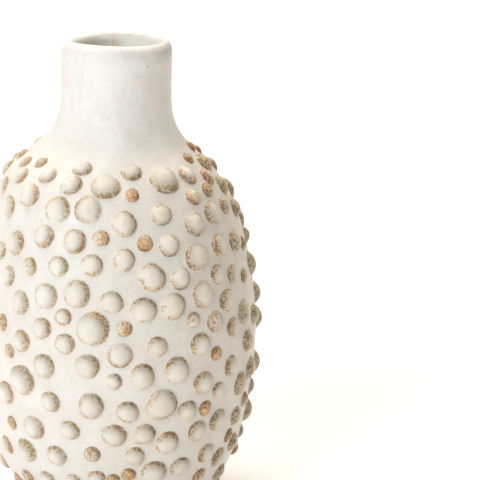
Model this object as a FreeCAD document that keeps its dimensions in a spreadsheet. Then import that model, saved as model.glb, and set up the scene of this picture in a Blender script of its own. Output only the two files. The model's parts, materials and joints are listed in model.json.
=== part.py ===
import FreeCAD
import Part

import math
import os
import random

import Sketcher

# Stoneware vase: an ovoid pot with a straight cylindrical neck, covered all over with
# hand-rolled clay beads that are pressed on one by one with slip.
# Frame: millimetres, +Z up along the turning axis, origin at the centre of the foot's
# standing plane.  The front of the vase faces -Y.

# ---------------------------------------------------------------- driving dimensions
SIZES = {
    "vase_height": 276.0,
    "neck_radius": 32.0,
    "wall": 7.5,
    "lip_outer_round": 6.0,
    "lip_inner_round": 1.5,
    "flare_top": 240.0,
    "flare_curve": 35.0,
    "shoulder_curve": 53.0,
    "belly_radius": 82.0,
    "belly_height": 105.0,
    "belly_curve": 225.0,
    "foot_radius": 47.0,
    "foot_curve": 62.0,
    "foot_height": 4.0,
    "foot_inner_radius": 36.0,
    "foot_chamfer": 1.5,
    "slab_radius": 43.0,
    "slab_thickness": 7.0,
    "heel_seam": 46.0,
    "lower_seam": 88.0,
    "upper_seam": 131.0,
    "shoulder_seam": 175.0,
    "collar_seat_height": 226.0,
    "collar_seat_radius": 30.8,
    "collar_lap": 3.0,
    "bead_rise": 0.52,
    "bead_gap": 3.8,
}

# ---------------------------------------------------------------- bead layout
# Beads of the front, placed by hand: (angle in degrees round from the front towards +X,
# height in mm, diameter in mm), listed from the shoulder down to the foot.
FRONT_BEADS = [
    (85, 214, 8), (62, 211, 8), (-22, 210, 10), (-55, 210, 8), (9.5, 208.5, 11),
    (-88, 209, 8.5), (-70, 208, 8.5), (78, 206, 13), (-42, 205, 10), (29, 204, 17),
    (48, 204, 12), (-90, 201, 10), (-6, 202, 15), (-25, 202, 11.5), (-62, 202, 10),
    (66, 200.5, 11), (8, 197.5, 8), (57, 195, 9), (-48, 194, 13), (-75, 194, 10),
    (43.5, 193.5, 10), (78, 193.5, 12), (-14, 190, 14.5), (-29.5, 189, 14),
    (22, 186.5, 12), (-62, 185, 12), (67, 184.5, 11), (53, 183, 13.5), (3.5, 182.5, 14),
    (39, 179.5, 13), (81, 179.5, 12.5), (-7, 175, 9), (-34.5, 173.5, 12.5),
    (-19, 172.7, 13), (12.8, 172, 9), (24, 170, 12), (-50.5, 167, 13), (51.7, 165.5, 12.5),
    (66, 164, 13), (3.3, 163.5, 12), (37, 162, 15), (90, 161, 10.5), (-10.5, 160.5, 12),
    (76, 160, 8), (-61, 160, 10), (-25.5, 158.5, 11.5), (-40, 156, 10), (15, 153.5, 15),
    (27.5, 151.5, 12), (47.5, 150, 11), (-52, 148, 11), (58.5, 147, 11), (83, 146, 14),
    (-16.4, 144.5, 15), (69, 143, 9), (-30, 141.5, 14), (38, 140.6, 14.5),
    (-2, 140.4, 12.5), (23.4, 136.5, 14.5), (10.8, 135.6, 14.5), (-43, 135, 13),
    (51.7, 134, 12.5), (-21.7, 131, 9.5), (88, 127, 13), (32.4, 127.2, 9),
    (2.9, 125.8, 9), (-9.4, 125.5, 18), (43.6, 124, 12), (64.3, 123.4, 14),
    (-31.3, 123, 12), (-53, 121, 9.5), (76.5, 117.7, 12.5), (54.6, 117.5, 11),
    (-20.8, 115.8, 11.5), (16.3, 114.5, 11.5), (-41, 113.5, 12), (35.5, 112.8, 13),
    (89, 111.5, 14), (1.2, 110.7, 14), (-47.8, 105.8, 8), (66.7, 105.6, 13),
    (44.1, 105, 8.5), (-11.5, 103.8, 13.5), (-30, 101.3, 13.5), (24.6, 99.7, 15),
    (10.2, 97.8, 14), (-1, 95.3, 9), (53.2, 95, 11.5), (-41, 90.5, 17), (37.4, 89.5, 13),
    (71.7, 87, 13), (87, 85, 14), (46, 83, 9), (62, 81, 13.5), (-27.5, 80.7, 11.5),
    (-10.3, 80.3, 14.5), (18.3, 80, 18), (-51.5, 80, 13.5), (4.4, 77, 12.5),
    (30.1, 74.2, 12), (39.4, 73.5, 9), (82, 72, 10), (70, 68.5, 9.5), (-19.8, 64.4, 11.5),
    (47.9, 63.7, 13), (11.5, 62.7, 12.5), (-1, 62.6, 13.5), (-37, 62.6, 14),
    (-50.3, 61.5, 8.5), (36.2, 60.3, 12), (62.8, 61, 11.5), (22.1, 56, 13.5), (85, 56, 14),
    (59.5, 50, 8.5), (-10.6, 50.3, 9.5), (8, 48.9, 11.5), (-27.3, 47, 12.5),
    (-43.5, 46.5, 14), (-58.5, 45, 11), (44, 44, 12), (84, 43, 8.5), (67, 43, 11.5),
    (30, 39, 12), (54.8, 37.7, 12.5), (17, 37.3, 15), (5.4, 37, 8.5), (80, 34, 9),
    (-9.3, 34.6, 10), (-1.5, 34, 7.5), (-20.8, 31.8, 8.5), (-35.2, 30.5, 9.5),
    (43.6, 29.5, 9.5), (-49, 28, 9), (-79, 27, 11), (64, 25, 11),
]

# The rest of the pot is strewn with beads at random, biggest first, never closer than
# bead_gap; the seed fixes the layout.
STREW_SEED = 5
# (nominal diameter, number of tries at it)
STREW_TRIES = [(17.5, 8), (14.8, 45), (13.4, 110), (12.3, 200), (11.0, 900), (9.0, 1500),
               (8.2, 1500)]
DIAMETER_SPREAD = 0.5
STREW_LOWEST = 13.0
STREW_HIGHEST = 212.0
# The hand-placed front: ahead of the side line, right of the left line, above the low line.
FRONT_LEFT_LINE = -66.0
FRONT_SIDE_ANGLE = 98.0
FRONT_LOW_LINE = 30.0

COURSE_COUNT = 16
COURSE_TOP = 216.0
COURSE_BOTTOM = 10.0

# ---------------------------------------------------------------- wall sections
# The wall is raised in five rounds, each luted on the flat rim of the one below:
# (name, height of its lower rim, height of its upper rim).
WALL_SECTIONS = [
    ("heel_wall", "sizes.foot_height", "sizes.heel_seam"),
    ("lower_wall", "sizes.heel_seam", "sizes.lower_seam"),
    ("belly_wall", "sizes.lower_seam", "sizes.upper_seam"),
    ("upper_wall", "sizes.upper_seam", "sizes.shoulder_seam"),
    ("shoulder_wall", "sizes.shoulder_seam", "sizes.collar_seat_height + sizes.collar_lap"),
]


# ---------------------------------------------------------------- document and sheet
def new_sheet(document):
    """Spreadsheet holding every driving size under a word alias."""
    sheet = document.addObject("Spreadsheet::Sheet", "sizes")
    for row, (word, value) in enumerate(SIZES.items(), start=1):
        sheet.set("A%d" % row, word)
        sheet.set("B%d" % row, str(value))
        sheet.setAlias("B%d" % row, word)
    document.recompute()
    return sheet


def size(sheet, word):
    """One driving size as a plain number."""
    return float(getattr(sheet, word))


# ---------------------------------------------------------------- profile geometry
def circle_crossing(centre_a, radius_a, centre_b, radius_b):
    """The crossing of two circles that lies nearer to the turning axis."""
    span = math.dist(centre_a, centre_b)
    along = (radius_a ** 2 - radius_b ** 2 + span ** 2) / (2 * span)
    aside = math.sqrt(radius_a ** 2 - along ** 2)
    unit = ((centre_b[0] - centre_a[0]) / span, (centre_b[1] - centre_a[1]) / span)
    middle = (centre_a[0] + along * unit[0], centre_a[1] + along * unit[1])
    crossings = [(middle[0] - aside * unit[1], middle[1] + aside * unit[0]),
                 (middle[0] + aside * unit[1], middle[1] - aside * unit[0])]
    return min(crossings, key=lambda point: abs(point[0]))


def polar_point(centre, towards, radius):
    """The point at the given radius from centre on the ray through towards."""
    span = math.dist(centre, towards)
    return (centre[0] + radius * (towards[0] - centre[0]) / span,
            centre[1] + radius * (towards[1] - centre[1]) / span)


def profile_geometry(sheet):
    """Centres of the four tangent arcs of the outer wall and the points they meet at."""
    belly_curve = size(sheet, "belly_curve")
    shoulder_curve = size(sheet, "shoulder_curve")
    flare_curve = size(sheet, "flare_curve")
    foot_curve = size(sheet, "foot_curve")
    belly = (size(sheet, "belly_radius") - belly_curve, size(sheet, "belly_height"))
    flare = (size(sheet, "neck_radius") + flare_curve, size(sheet, "flare_top"))
    heel = (size(sheet, "foot_radius"), size(sheet, "foot_height"))
    shoulder = circle_crossing(belly, belly_curve - shoulder_curve,
                               flare, shoulder_curve + flare_curve)
    foot = circle_crossing(belly, belly_curve - foot_curve, heel, foot_curve)
    return {
        "belly": belly, "flare": flare, "heel": heel, "shoulder": shoulder, "foot": foot,
        "belly_to_foot": polar_point(belly, foot, belly_curve),
        "belly_to_shoulder": polar_point(belly, shoulder, belly_curve),
        "shoulder_to_flare": polar_point(shoulder, flare, shoulder_curve),
    }


def arc_radius_at(centre, curve, height, side):
    """Radius from the axis of an arc at a height; side is +1 outside, -1 inside."""
    return centre[0] + side * math.sqrt(curve ** 2 - (height - centre[1]) ** 2)


def wall_point(sheet, geometry, height):
    """Outer radius at a height and the outward normal (radial, upward) there."""
    if height >= geometry["shoulder_to_flare"][1]:
        centre, curve, side = geometry["flare"], size(sheet, "flare_curve"), -1
    elif height >= geometry["belly_to_shoulder"][1]:
        centre, curve, side = geometry["shoulder"], size(sheet, "shoulder_curve"), 1
    elif height >= geometry["belly_to_foot"][1]:
        centre, curve, side = geometry["belly"], size(sheet, "belly_curve"), 1
    else:
        centre, curve, side = geometry["foot"], size(sheet, "foot_curve"), 1
    radius = arc_radius_at(centre, curve, height, side)
    return radius, (side * (radius - centre[0]) / curve, side * (height - centre[1]) / curve)


# ---------------------------------------------------------------- sketch helpers
class Outline:
    """A closed half-section drawn edge by edge in a sketch on the XZ plane."""

    def __init__(self, body):
        plane = next(f for f in body.Origin.OriginFeatures if f.Role == "XZ_Plane")
        self.body = body
        self.sketch = body.newObject("Sketcher::SketchObject", body.Name + "_section")
        self.sketch.AttachmentSupport = [(plane, "")]
        self.sketch.MapMode = "FlatFace"
        self.edges = []

    def line(self, start, end):
        """Add a straight edge; returns its index."""
        segment = Part.LineSegment(FreeCAD.Vector(start[0], start[1], 0),
                                   FreeCAD.Vector(end[0], end[1], 0))
        self.edges.append(self.sketch.addGeometry(segment, False))
        return self.edges[-1]

    def arc(self, centre, start, end, bulge):
        """Add an arc; bulge 1 runs anticlockwise from start to end, -1 clockwise."""
        radius = math.dist(centre, start)
        first, last = (start, end) if bulge > 0 else (end, start)
        angles = [math.atan2(p[1] - centre[1], p[0] - centre[0]) for p in (first, last)]
        circle = Part.Circle(FreeCAD.Vector(centre[0], centre[1], 0),
                             FreeCAD.Vector(0, 0, 1), radius)
        arc = Part.ArcOfCircle(circle, angles[0], angles[1])
        self.edges.append(self.sketch.addGeometry(arc, False))
        return self.edges[-1]

    def meet(self, edge_a, end_a, edge_b, end_b, kind="Coincident"):
        """Join two edge ends (1 = start, 2 = end), plainly or tangentially."""
        self.sketch.addConstraint(Sketcher.Constraint(kind, edge_a, end_a, edge_b, end_b))

    def same_centre(self, edge_a, edge_b):
        """Make two arcs concentric."""
        self.sketch.addConstraint(Sketcher.Constraint("Coincident", edge_a, 3, edge_b, 3))

    def level(self, *edges):
        """Hold edges horizontal."""
        for edge in edges:
            self.sketch.addConstraint(Sketcher.Constraint("Horizontal", edge))

    def upright(self, *edges):
        """Hold edges vertical."""
        for edge in edges:
            self.sketch.addConstraint(Sketcher.Constraint("Vertical", edge))

    def drive(self, constraint, formula):
        """Add a dimension and bind it to the sheet."""
        index = self.sketch.addConstraint(constraint)
        self.sketch.setExpression("Constraints[%d]" % index, formula)

    def radius(self, edge, value, formula):
        """Arc radius bound to the sheet."""
        self.drive(Sketcher.Constraint("Radius", edge, value), formula)

    def across(self, edge, point, value, formula):
        """Distance of a point from the turning axis, bound to the sheet."""
        self.drive(Sketcher.Constraint("DistanceX", -1, 1, edge, point, value), formula)

    def behind(self, edge, point, value, formula):
        """Distance of a point on the far side of the turning axis, bound to the sheet."""
        self.drive(Sketcher.Constraint("DistanceX", edge, point, -1, 1, value), formula)

    def above(self, edge, point, value, formula):
        """Height of a point over the standing plane, bound to the sheet."""
        self.drive(Sketcher.Constraint("DistanceY", -1, 1, edge, point, value), formula)

    def revolve(self):
        """Turn the section once round the vase axis."""
        turned = self.body.newObject("PartDesign::Revolution", self.body.Name + "_turned")
        turned.Profile = self.sketch
        turned.ReferenceAxis = (self.sketch, ["V_Axis"])
        turned.Angle = 360.0
        self.body.Tip = turned


def new_body(document, name):
    """An empty PartDesign body with its own label."""
    body = document.addObject("PartDesign::Body", name)
    body.Label = name
    return body


# ---------------------------------------------------------------- pot sub-parts
def build_whole_wall(document, sheet, geometry):
    """Hollow ovoid wall from the heel up to the seat of the neck collar, in one turning."""
    wall = size(sheet, "wall")
    foot_height = size(sheet, "foot_height")
    floor_top = foot_height + size(sheet, "slab_thickness")
    slab_radius = size(sheet, "slab_radius")
    seat = size(sheet, "collar_seat_height")
    seat_radius = size(sheet, "collar_seat_radius")
    lap_top = seat + size(sheet, "collar_lap")
    curves = {name: size(sheet, name + "_curve") for name in ("foot", "belly", "shoulder")}
    flare_curve = size(sheet, "flare_curve")

    heel = geometry["heel"]
    seat_outer = (arc_radius_at(geometry["flare"], flare_curve, seat, -1), seat)
    lap_inner = (arc_radius_at(geometry["flare"], flare_curve + wall, lap_top, -1), lap_top)
    floor_inner = (arc_radius_at(geometry["foot"], curves["foot"] - wall, floor_top, 1),
                   floor_top)
    shift = {
        "shoulder_to_flare": polar_point(geometry["shoulder"], geometry["flare"],
                                         curves["shoulder"] - wall),
        "belly_to_shoulder": polar_point(geometry["belly"], geometry["shoulder"],
                                         curves["belly"] - wall),
        "belly_to_foot": polar_point(geometry["belly"], geometry["foot"],
                                     curves["belly"] - wall),
    }

    outline = Outline(new_body(document, "whole_wall"))
    foot_out = outline.arc(geometry["foot"], heel, geometry["belly_to_foot"], 1)
    belly_out = outline.arc(geometry["belly"], geometry["belly_to_foot"],
                            geometry["belly_to_shoulder"], 1)
    shoulder_out = outline.arc(geometry["shoulder"], geometry["belly_to_shoulder"],
                               geometry["shoulder_to_flare"], 1)
    flare_out = outline.arc(geometry["flare"], geometry["shoulder_to_flare"], seat_outer, -1)
    seat_face = outline.line(seat_outer, (seat_radius, seat))
    lap_face = outline.line((seat_radius, seat), (seat_radius, lap_top))
    lap_rim = outline.line((seat_radius, lap_top), lap_inner)
    flare_in = outline.arc(geometry["flare"], lap_inner, shift["shoulder_to_flare"], 1)
    shoulder_in = outline.arc(geometry["shoulder"], shift["shoulder_to_flare"],
                              shift["belly_to_shoulder"], -1)
    belly_in = outline.arc(geometry["belly"], shift["belly_to_shoulder"],
                           shift["belly_to_foot"], -1)
    foot_in = outline.arc(geometry["foot"], shift["belly_to_foot"], floor_inner, -1)
    floor_ledge = outline.line(floor_inner, (slab_radius, floor_top))
    slab_bore = outline.line((slab_radius, floor_top), (slab_radius, foot_height))
    bed = outline.line((slab_radius, foot_height), heel)

    outline.meet(foot_out, 2, belly_out, 1, "Tangent")
    outline.meet(belly_out, 2, shoulder_out, 1, "Tangent")
    outline.meet(shoulder_out, 2, flare_out, 2, "Tangent")
    outline.meet(flare_out, 1, seat_face, 1)
    outline.meet(seat_face, 2, lap_face, 1)
    outline.meet(lap_face, 2, lap_rim, 1)
    outline.meet(lap_rim, 2, flare_in, 1)
    outline.meet(flare_in, 2, shoulder_in, 2, "Tangent")
    outline.meet(shoulder_in, 1, belly_in, 2, "Tangent")
    outline.meet(belly_in, 1, foot_in, 2, "Tangent")
    outline.meet(foot_in, 1, floor_ledge, 1)
    outline.meet(floor_ledge, 2, slab_bore, 1)
    outline.meet(slab_bore, 2, bed, 1)
    outline.meet(bed, 2, foot_out, 1)
    outline.level(seat_face, lap_rim, floor_ledge, bed)
    outline.upright(lap_face, slab_bore)

    outline.same_centre(belly_in, belly_out)
    outline.same_centre(foot_in, foot_out)
    outline.same_centre(shoulder_in, shoulder_out)
    outline.same_centre(flare_in, flare_out)
    outline.radius(foot_out, curves["foot"], "sizes.foot_curve")
    outline.radius(belly_out, curves["belly"], "sizes.belly_curve")
    outline.radius(shoulder_out, curves["shoulder"], "sizes.shoulder_curve")
    outline.radius(flare_out, flare_curve, "sizes.flare_curve")
    outline.radius(belly_in, curves["belly"] - wall, "sizes.belly_curve - sizes.wall")
    outline.behind(belly_out, 3, -geometry["belly"][0],
                   "sizes.belly_curve - sizes.belly_radius")
    outline.above(belly_out, 3, geometry["belly"][1], "sizes.belly_height")
    outline.across(flare_out, 3, geometry["flare"][0],
                   "sizes.neck_radius + sizes.flare_curve")
    outline.above(flare_out, 3, geometry["flare"][1], "sizes.flare_top")
    outline.across(foot_out, 1, heel[0], "sizes.foot_radius")
    outline.above(foot_out, 1, heel[1], "sizes.foot_height")
    outline.above(seat_face, 1, seat, "sizes.collar_seat_height")
    outline.above(lap_rim, 1, lap_top, "sizes.collar_seat_height + sizes.collar_lap")
    outline.across(lap_face, 1, seat_radius, "sizes.collar_seat_radius")
    outline.above(floor_ledge, 1, floor_top, "sizes.foot_height + sizes.slab_thickness")
    outline.across(slab_bore, 1, slab_radius, "sizes.slab_radius")
    outline.revolve()
    return outline.body


def build_wall_sections(document, whole_wall):
    """The five rounds of the wall, cut from the whole turning at the level seams."""
    sections = []
    for name, lower_rim, upper_rim in WALL_SECTIONS:
        span = document.addObject("Part::Cylinder", name + "_span")
        span.setExpression("Radius", "sizes.belly_radius + sizes.wall")
        span.setExpression("Height", "%s - %s" % (upper_rim, lower_rim))
        span.setExpression("Placement.Base.z", lower_rim)
        section = document.addObject("Part::Common", name)
        section.Label = name
        section.Base = whole_wall
        section.Tool = span
        sections.append(section)
    return sections


def build_neck_collar(document, sheet, geometry):
    """Top of the flare, straight neck and rounded lip, lapped over the wall's seat."""
    wall = size(sheet, "wall")
    neck = size(sheet, "neck_radius")
    throat = neck - wall
    top = size(sheet, "vase_height")
    outer_round = size(sheet, "lip_outer_round")
    inner_round = size(sheet, "lip_inner_round")
    flare_top = size(sheet, "flare_top")
    flare_curve = size(sheet, "flare_curve")
    seat = size(sheet, "collar_seat_height")
    seat_radius = size(sheet, "collar_seat_radius")
    lap_top = seat + size(sheet, "collar_lap")
    seat_outer = (arc_radius_at(geometry["flare"], flare_curve, seat, -1), seat)
    lap_inner = (arc_radius_at(geometry["flare"], flare_curve + wall, lap_top, -1), lap_top)
    crown = (neck - outer_round, top)
    outer_spring = (neck, top - outer_round)
    inner_spring = (throat, top - inner_round)

    outline = Outline(new_body(document, "neck_collar"))
    flare_out = outline.arc(geometry["flare"], seat_outer, (neck, flare_top), -1)
    neck_out = outline.line((neck, flare_top), outer_spring)
    lip_out = outline.arc((crown[0], outer_spring[1]), outer_spring, crown, 1)
    lip_in = outline.arc((crown[0], inner_spring[1]), crown, inner_spring, 1)
    neck_in = outline.line(inner_spring, (throat, flare_top))
    flare_in = outline.arc(geometry["flare"], (throat, flare_top), lap_inner, 1)
    lap_rim = outline.line(lap_inner, (seat_radius, lap_top))
    lap_face = outline.line((seat_radius, lap_top), (seat_radius, seat))
    seat_face = outline.line((seat_radius, seat), seat_outer)

    outline.meet(flare_out, 1, neck_out, 1, "Tangent")
    outline.meet(neck_out, 2, lip_out, 1, "Tangent")
    outline.meet(lip_out, 2, lip_in, 1, "Tangent")
    outline.meet(lip_in, 2, neck_in, 1, "Tangent")
    outline.meet(neck_in, 2, flare_in, 1)
    outline.meet(flare_in, 2, lap_rim, 1)
    outline.meet(lap_rim, 2, lap_face, 1)
    outline.meet(lap_face, 2, seat_face, 1)
    outline.meet(seat_face, 2, flare_out, 2)
    outline.same_centre(flare_in, flare_out)
    outline.upright(neck_out, neck_in, lap_face)
    outline.level(lap_rim, seat_face)
    outline.radius(flare_out, flare_curve, "sizes.flare_curve")
    outline.radius(lip_out, outer_round, "sizes.lip_outer_round")
    outline.radius(lip_in, inner_round, "sizes.lip_inner_round")
    outline.across(flare_out, 3, geometry["flare"][0],
                   "sizes.neck_radius + sizes.flare_curve")
    outline.above(flare_out, 3, flare_top, "sizes.flare_top")
    outline.above(lip_out, 2, top, "sizes.vase_height")
    outline.across(neck_in, 1, throat, "sizes.neck_radius - sizes.wall")
    outline.above(neck_in, 2, flare_top, "sizes.flare_top")
    outline.above(lap_rim, 1, lap_top, "sizes.collar_seat_height + sizes.collar_lap")
    outline.across(lap_face, 1, seat_radius, "sizes.collar_seat_radius")
    outline.above(seat_face, 1, seat, "sizes.collar_seat_height")
    outline.revolve()
    return outline.body


def build_base_slab(document, sheet):
    """Rolled clay disc that closes the pot, level with the bed of the wall."""
    radius = size(sheet, "slab_radius")
    bottom = size(sheet, "foot_height")
    top = bottom + size(sheet, "slab_thickness")
    outline = Outline(new_body(document, "base_slab"))
    underside = outline.line((0, bottom), (radius, bottom))
    rim = outline.line((radius, bottom), (radius, top))
    upper = outline.line((radius, top), (0, top))
    axis = outline.line((0, top), (0, bottom))
    outline.meet(underside, 2, rim, 1)
    outline.meet(rim, 2, upper, 1)
    outline.meet(upper, 2, axis, 1)
    outline.meet(axis, 2, underside, 1)
    outline.level(underside, upper)
    outline.upright(rim)
    outline.sketch.addConstraint(Sketcher.Constraint("PointOnObject", axis, 1, -2))
    outline.sketch.addConstraint(Sketcher.Constraint("PointOnObject", axis, 2, -2))
    outline.across(rim, 1, radius, "sizes.slab_radius")
    outline.above(underside, 2, bottom, "sizes.foot_height")
    outline.above(upper, 1, top, "sizes.foot_height + sizes.slab_thickness")
    outline.revolve()
    return outline.body


def build_foot_ring(document, sheet):
    """Raw clay ring the vase stands on; it covers the seam of wall and slab."""
    outer = size(sheet, "foot_radius")
    inner = size(sheet, "foot_inner_radius")
    top = size(sheet, "foot_height")
    chamfer = size(sheet, "foot_chamfer")
    outline = Outline(new_body(document, "foot_ring"))
    tread = outline.line((inner, 0), (outer - chamfer, 0))
    bevel = outline.line((outer - chamfer, 0), (outer, chamfer))
    side = outline.line((outer, chamfer), (outer, top))
    bed = outline.line((outer, top), (inner, top))
    bore = outline.line((inner, top), (inner, 0))
    edges = [tread, bevel, side, bed, bore]
    for position, edge in enumerate(edges):
        outline.meet(edge, 2, edges[(position + 1) % len(edges)], 1)
    outline.level(bed)
    outline.upright(side, bore)
    outline.sketch.addConstraint(Sketcher.Constraint("PointOnObject", tread, 1, -1))
    outline.sketch.addConstraint(Sketcher.Constraint("PointOnObject", tread, 2, -1))
    outline.across(bore, 1, inner, "sizes.foot_inner_radius")
    outline.across(side, 1, outer, "sizes.foot_radius")
    outline.across(tread, 2, outer - chamfer, "sizes.foot_radius - sizes.foot_chamfer")
    outline.above(side, 1, chamfer, "sizes.foot_chamfer")
    outline.above(bed, 1, top, "sizes.foot_height")
    outline.revolve()
    return outline.body


# ---------------------------------------------------------------- beads
def surface_position(sheet, geometry, angle, height):
    """Point of the wall and outward normal; angle in degrees from the front to +X."""
    radius, (radial, upward) = wall_point(sheet, geometry, height)
    turn = math.radians(angle)
    across = (math.sin(turn), -math.cos(turn))
    point = FreeCAD.Vector(radius * across[0], radius * across[1], height)
    normal = FreeCAD.Vector(radial * across[0], radial * across[1], upward)
    return point, normal


def in_hand_placed_front(point, angle, diameter):
    """True where only the hand-placed beads belong."""
    ahead = abs(angle) < FRONT_SIDE_ANGLE
    in_frame = point.x > FRONT_LEFT_LINE - diameter / 2
    return ahead and in_frame and point.z > FRONT_LOW_LINE


def bead_sites(sheet, geometry):
    """Every bead as (point, normal, diameter): the front by hand, the rest strewn."""
    gap = size(sheet, "bead_gap")
    sites = []
    for angle, height, diameter in FRONT_BEADS:
        point, normal = surface_position(sheet, geometry, angle, height)
        sites.append((point, normal, diameter))
    dice = random.Random(STREW_SEED)
    for nominal, tries in STREW_TRIES:
        for _ in range(tries):
            diameter = nominal + dice.uniform(-DIAMETER_SPREAD, DIAMETER_SPREAD)
            angle = dice.uniform(-180, 180)
            height = dice.uniform(STREW_LOWEST, STREW_HIGHEST)
            point, normal = surface_position(sheet, geometry, angle, height)
            if in_hand_placed_front(point, angle, diameter):
                continue
            if all(point.distanceToPoint(other) > (diameter + width) / 2 + gap
                   for other, _, width in sites):
                sites.append((point, normal, diameter))
    return sites


def bead_solid(sheet, site, wall_shape):
    """One domed bead, its back cut to lie flush on the wall."""
    point, normal, diameter = site
    radius = diameter / 2
    rise = size(sheet, "bead_rise") * radius
    sphere_radius = (radius ** 2 + rise ** 2) / (2 * rise)
    # The sphere's poles and seam are turned into the wall, so the dome is one clean face.
    inward = normal * -1
    poles = FreeCAD.Vector(0, 0, 1).cross(inward).normalize()
    sphere = Part.makeSphere(sphere_radius)
    sphere.Placement = FreeCAD.Placement(
        point - normal * (sphere_radius - rise),
        FreeCAD.Rotation(inward, poles.cross(inward), poles, "XZY"))
    bead = sphere.cut(wall_shape)
    return max(bead.Solids, key=lambda solid: solid.CenterOfMass.dot(normal))


def build_bead_courses(document, sheet, geometry, wall_shape):
    """Beads gathered into level courses, numbered from the shoulder to the foot."""
    depth = (COURSE_TOP - COURSE_BOTTOM) / COURSE_COUNT
    courses = [[] for _ in range(COURSE_COUNT)]
    for site in bead_sites(sheet, geometry):
        course = int((COURSE_TOP - site[0].z) / depth)
        courses[course].append(bead_solid(sheet, site, wall_shape))
    features = []
    for number, solids in enumerate(courses, start=1):
        feature = document.addObject("Part::Feature", "bead_course_%02d" % number)
        feature.Label = feature.Name
        feature.Shape = Part.makeCompound(solids)
        features.append(feature)
    return features


# ---------------------------------------------------------------- check and export
def check_and_export(document, nodes):
    """Stop on any bad object or shape, then write one STEP file per node."""
    for thing in document.Objects:
        faults = [state for state in thing.State if state in ("Invalid", "Error")]
        if faults:
            raise RuntimeError("%s is %s" % (thing.Name, faults))
    os.makedirs("parts", exist_ok=True)
    for node in nodes:
        if node.Shape.isNull() or not node.Shape.isValid():
            raise RuntimeError("%s has no valid shape" % node.Label)
        node.Shape.exportStep(os.path.join("parts", node.Label + ".step"))


def main():
    """Build every sub-part and write them out."""
    document = FreeCAD.newDocument("stoneware_vase")
    sheet = new_sheet(document)
    geometry = profile_geometry(sheet)
    whole_wall = build_whole_wall(document, sheet, geometry)
    nodes = [
        build_foot_ring(document, sheet),
        build_base_slab(document, sheet),
        build_neck_collar(document, sheet, geometry),
    ]
    nodes += build_wall_sections(document, whole_wall)
    document.recompute()
    nodes += build_bead_courses(document, sheet, geometry, whole_wall.Shape)
    document.recompute()
    check_and_export(document, nodes)
    for node in nodes:
        box = node.Shape.BoundBox
        print(node.Label, len(node.Shape.Solids), "solids, volume %.0f" % node.Shape.Volume,
              "x %.1f..%.1f z %.1f..%.1f" % (box.XMin, box.XMax, box.ZMin, box.ZMax))


main()
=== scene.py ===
import json
import math
import random

import bmesh
import bpy
import numpy as np
from mathutils import Matrix, Vector
from mathutils.bvhtree import BVHTree


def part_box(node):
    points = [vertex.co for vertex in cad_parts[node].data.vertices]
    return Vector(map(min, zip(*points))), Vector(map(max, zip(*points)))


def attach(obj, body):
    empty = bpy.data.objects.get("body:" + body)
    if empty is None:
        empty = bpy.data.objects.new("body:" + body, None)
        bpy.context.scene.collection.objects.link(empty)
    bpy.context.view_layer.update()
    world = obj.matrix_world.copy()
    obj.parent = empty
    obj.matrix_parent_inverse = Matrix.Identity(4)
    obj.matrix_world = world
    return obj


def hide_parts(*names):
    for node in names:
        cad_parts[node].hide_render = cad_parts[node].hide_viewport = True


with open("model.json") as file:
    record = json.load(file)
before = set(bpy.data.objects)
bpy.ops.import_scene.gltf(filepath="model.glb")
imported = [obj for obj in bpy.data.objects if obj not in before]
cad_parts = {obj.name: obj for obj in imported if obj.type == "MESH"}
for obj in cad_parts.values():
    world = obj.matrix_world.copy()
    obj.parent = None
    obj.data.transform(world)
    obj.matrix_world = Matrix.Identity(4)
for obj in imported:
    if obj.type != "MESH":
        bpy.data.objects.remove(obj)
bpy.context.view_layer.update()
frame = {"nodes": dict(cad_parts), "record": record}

# Stoneware vase with pressed-on clay beads. Everything is in metres, in the CAD frame: +Z up the
# turning axis, origin at the foot, front towards -Y. Angles run from the front towards +X.
# The turned wall and every bead are made again as fine, slightly uneven hand-made surfaces;
# where they go and how large they are is measured on the frame's nodes.

# ---- the frame's nodes
NODE_SLOTS = {part["node"]: part["material_slot"] for part in frame["record"]["subparts"]}
BEAD_NODES = sorted(node for node, slot in NODE_SLOTS.items() if slot == "bead_glaze")
GLAZED_NODES = sorted((node for node, slot in NODE_SLOTS.items() if slot == "glaze"),
                      key=lambda node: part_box(node)[0].z)
WALL_NODES = GLAZED_NODES[:-1]
NECK_NODE = GLAZED_NODES[-1]
SLAB_NODE = "base_slab"
RING_NODE = "foot_ring"

VASE_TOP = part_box(NECK_NODE)[1].z
FLOOR_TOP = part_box(SLAB_NODE)[1].z

# ---- measuring the turned profile
# Rays: how many round the axis, how far out they start, how far they keep from an edge.
PROBE_DIRECTIONS = 24
PROBE_REACH = 0.2
PROBE_CLEARANCE = 0.0001
# Spacing of the measured rows, and how often the CAD facets are ironed out of them.
OUTER_ROW = 0.0012
INNER_ROW = 0.003
OUTER_PASSES = 30
INNER_PASSES = 5
# The lip is measured round its own middle, from its outer side over the top to its inner side.
LIP_BOTTOM = VASE_TOP - 0.0065
LIP_ROWS = 24
LIP_PASSES = 3
LIP_ANGLES = np.linspace(0, math.pi, LIP_ROWS + 1)
# The lip is rolled in a little: the throat is tightest just under it.
ROLL_REACH = 0.0020
ROLL_DEPTH = 0.009
ROLL_LENGTH = 0.030


def ray_tree(nodes):
    """One tree for ray casting against several CAD nodes."""
    joined = bmesh.new()
    for node in nodes:
        joined.from_mesh(frame["nodes"][node].data)
    tree = BVHTree.FromBMesh(joined)
    joined.free()
    return tree


def around():
    """Horizontal unit vectors spread round the axis."""
    for step in range(PROBE_DIRECTIONS):
        turn = math.tau * (step + 0.5) / PROBE_DIRECTIONS
        yield Vector((math.sin(turn), -math.cos(turn), 0))


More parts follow.
